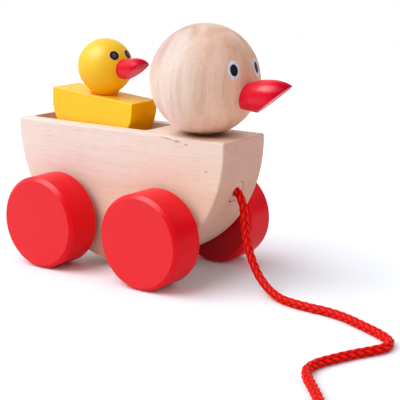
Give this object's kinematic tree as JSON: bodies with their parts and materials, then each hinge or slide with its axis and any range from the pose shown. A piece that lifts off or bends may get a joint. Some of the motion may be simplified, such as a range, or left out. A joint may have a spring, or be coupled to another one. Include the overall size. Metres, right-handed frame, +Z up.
{
  "type": "pull-along duck toy",
  "caption": "Pull-along wooden duck on red wheels, with a ball head, a yellow duckling that rocks in a pocket in its back, and a braided cord.",
  "frame": {"origin": "on the floor, below the middle of the toy's length and width without its cord", "axes": "+X towards the beak, +Y to the duck's left, +Z up"},
  "size_m": [0.281, 0.2313, 0.1324],
  "materials": {
    "plain_wood": "fine-sanded, clear matt oil",
    "red_paint": "satin red paint on wood",
    "yellow_paint": "satin yellow paint on wood",
    "red_cord": "braided cord",
    "cotton_tape": "woven tape"
  },
  "bodies": {
    "duck": {"hull": "plain_wood", "mother_head": "plain_wood", "head_dowel": "plain_wood", "mother_beak": "red_paint", "cord_plug": "plain_wood", "cord_anchor_knot": "red_cord", "pull_cord": "red_cord", "cord_coil": "red_cord", "coil_tie": "cotton_tape", "cord_end_knot": "red_cord"},
    "front_wheel_set": {"front_axle": "plain_wood", "front_left_wheel": "red_paint", "front_right_wheel": "red_paint"},
    "rear_wheel_set": {"rear_axle": "plain_wood", "rear_left_wheel": "red_paint", "rear_right_wheel": "red_paint"},
    "duckling": {"duckling_body": "yellow_paint", "duckling_head": "yellow_paint", "duckling_head_dowel": "plain_wood", "duckling_beak": "red_paint"}
  },
  "joints": [
    {"name": "front_wheels_spin", "type": "hinge", "parent": "duck", "child": "front_wheel_set", "pos_m": [0.01979, 0, 0.025], "axis": [0, 1, 0], "continuous": true},
    {"name": "rear_wheels_spin", "type": "hinge", "parent": "duck", "child": "rear_wheel_set", "pos_m": [-0.04921, 0, 0.025], "axis": [0, 1, 0], "continuous": true},
    {"name": "duckling_rock", "type": "hinge", "parent": "duck", "child": "duckling", "pos_m": [-0.03548, 0, 0.1074], "axis": [0, 1, 0], "range_deg": [-24.95, 15.05]}
  ]
}
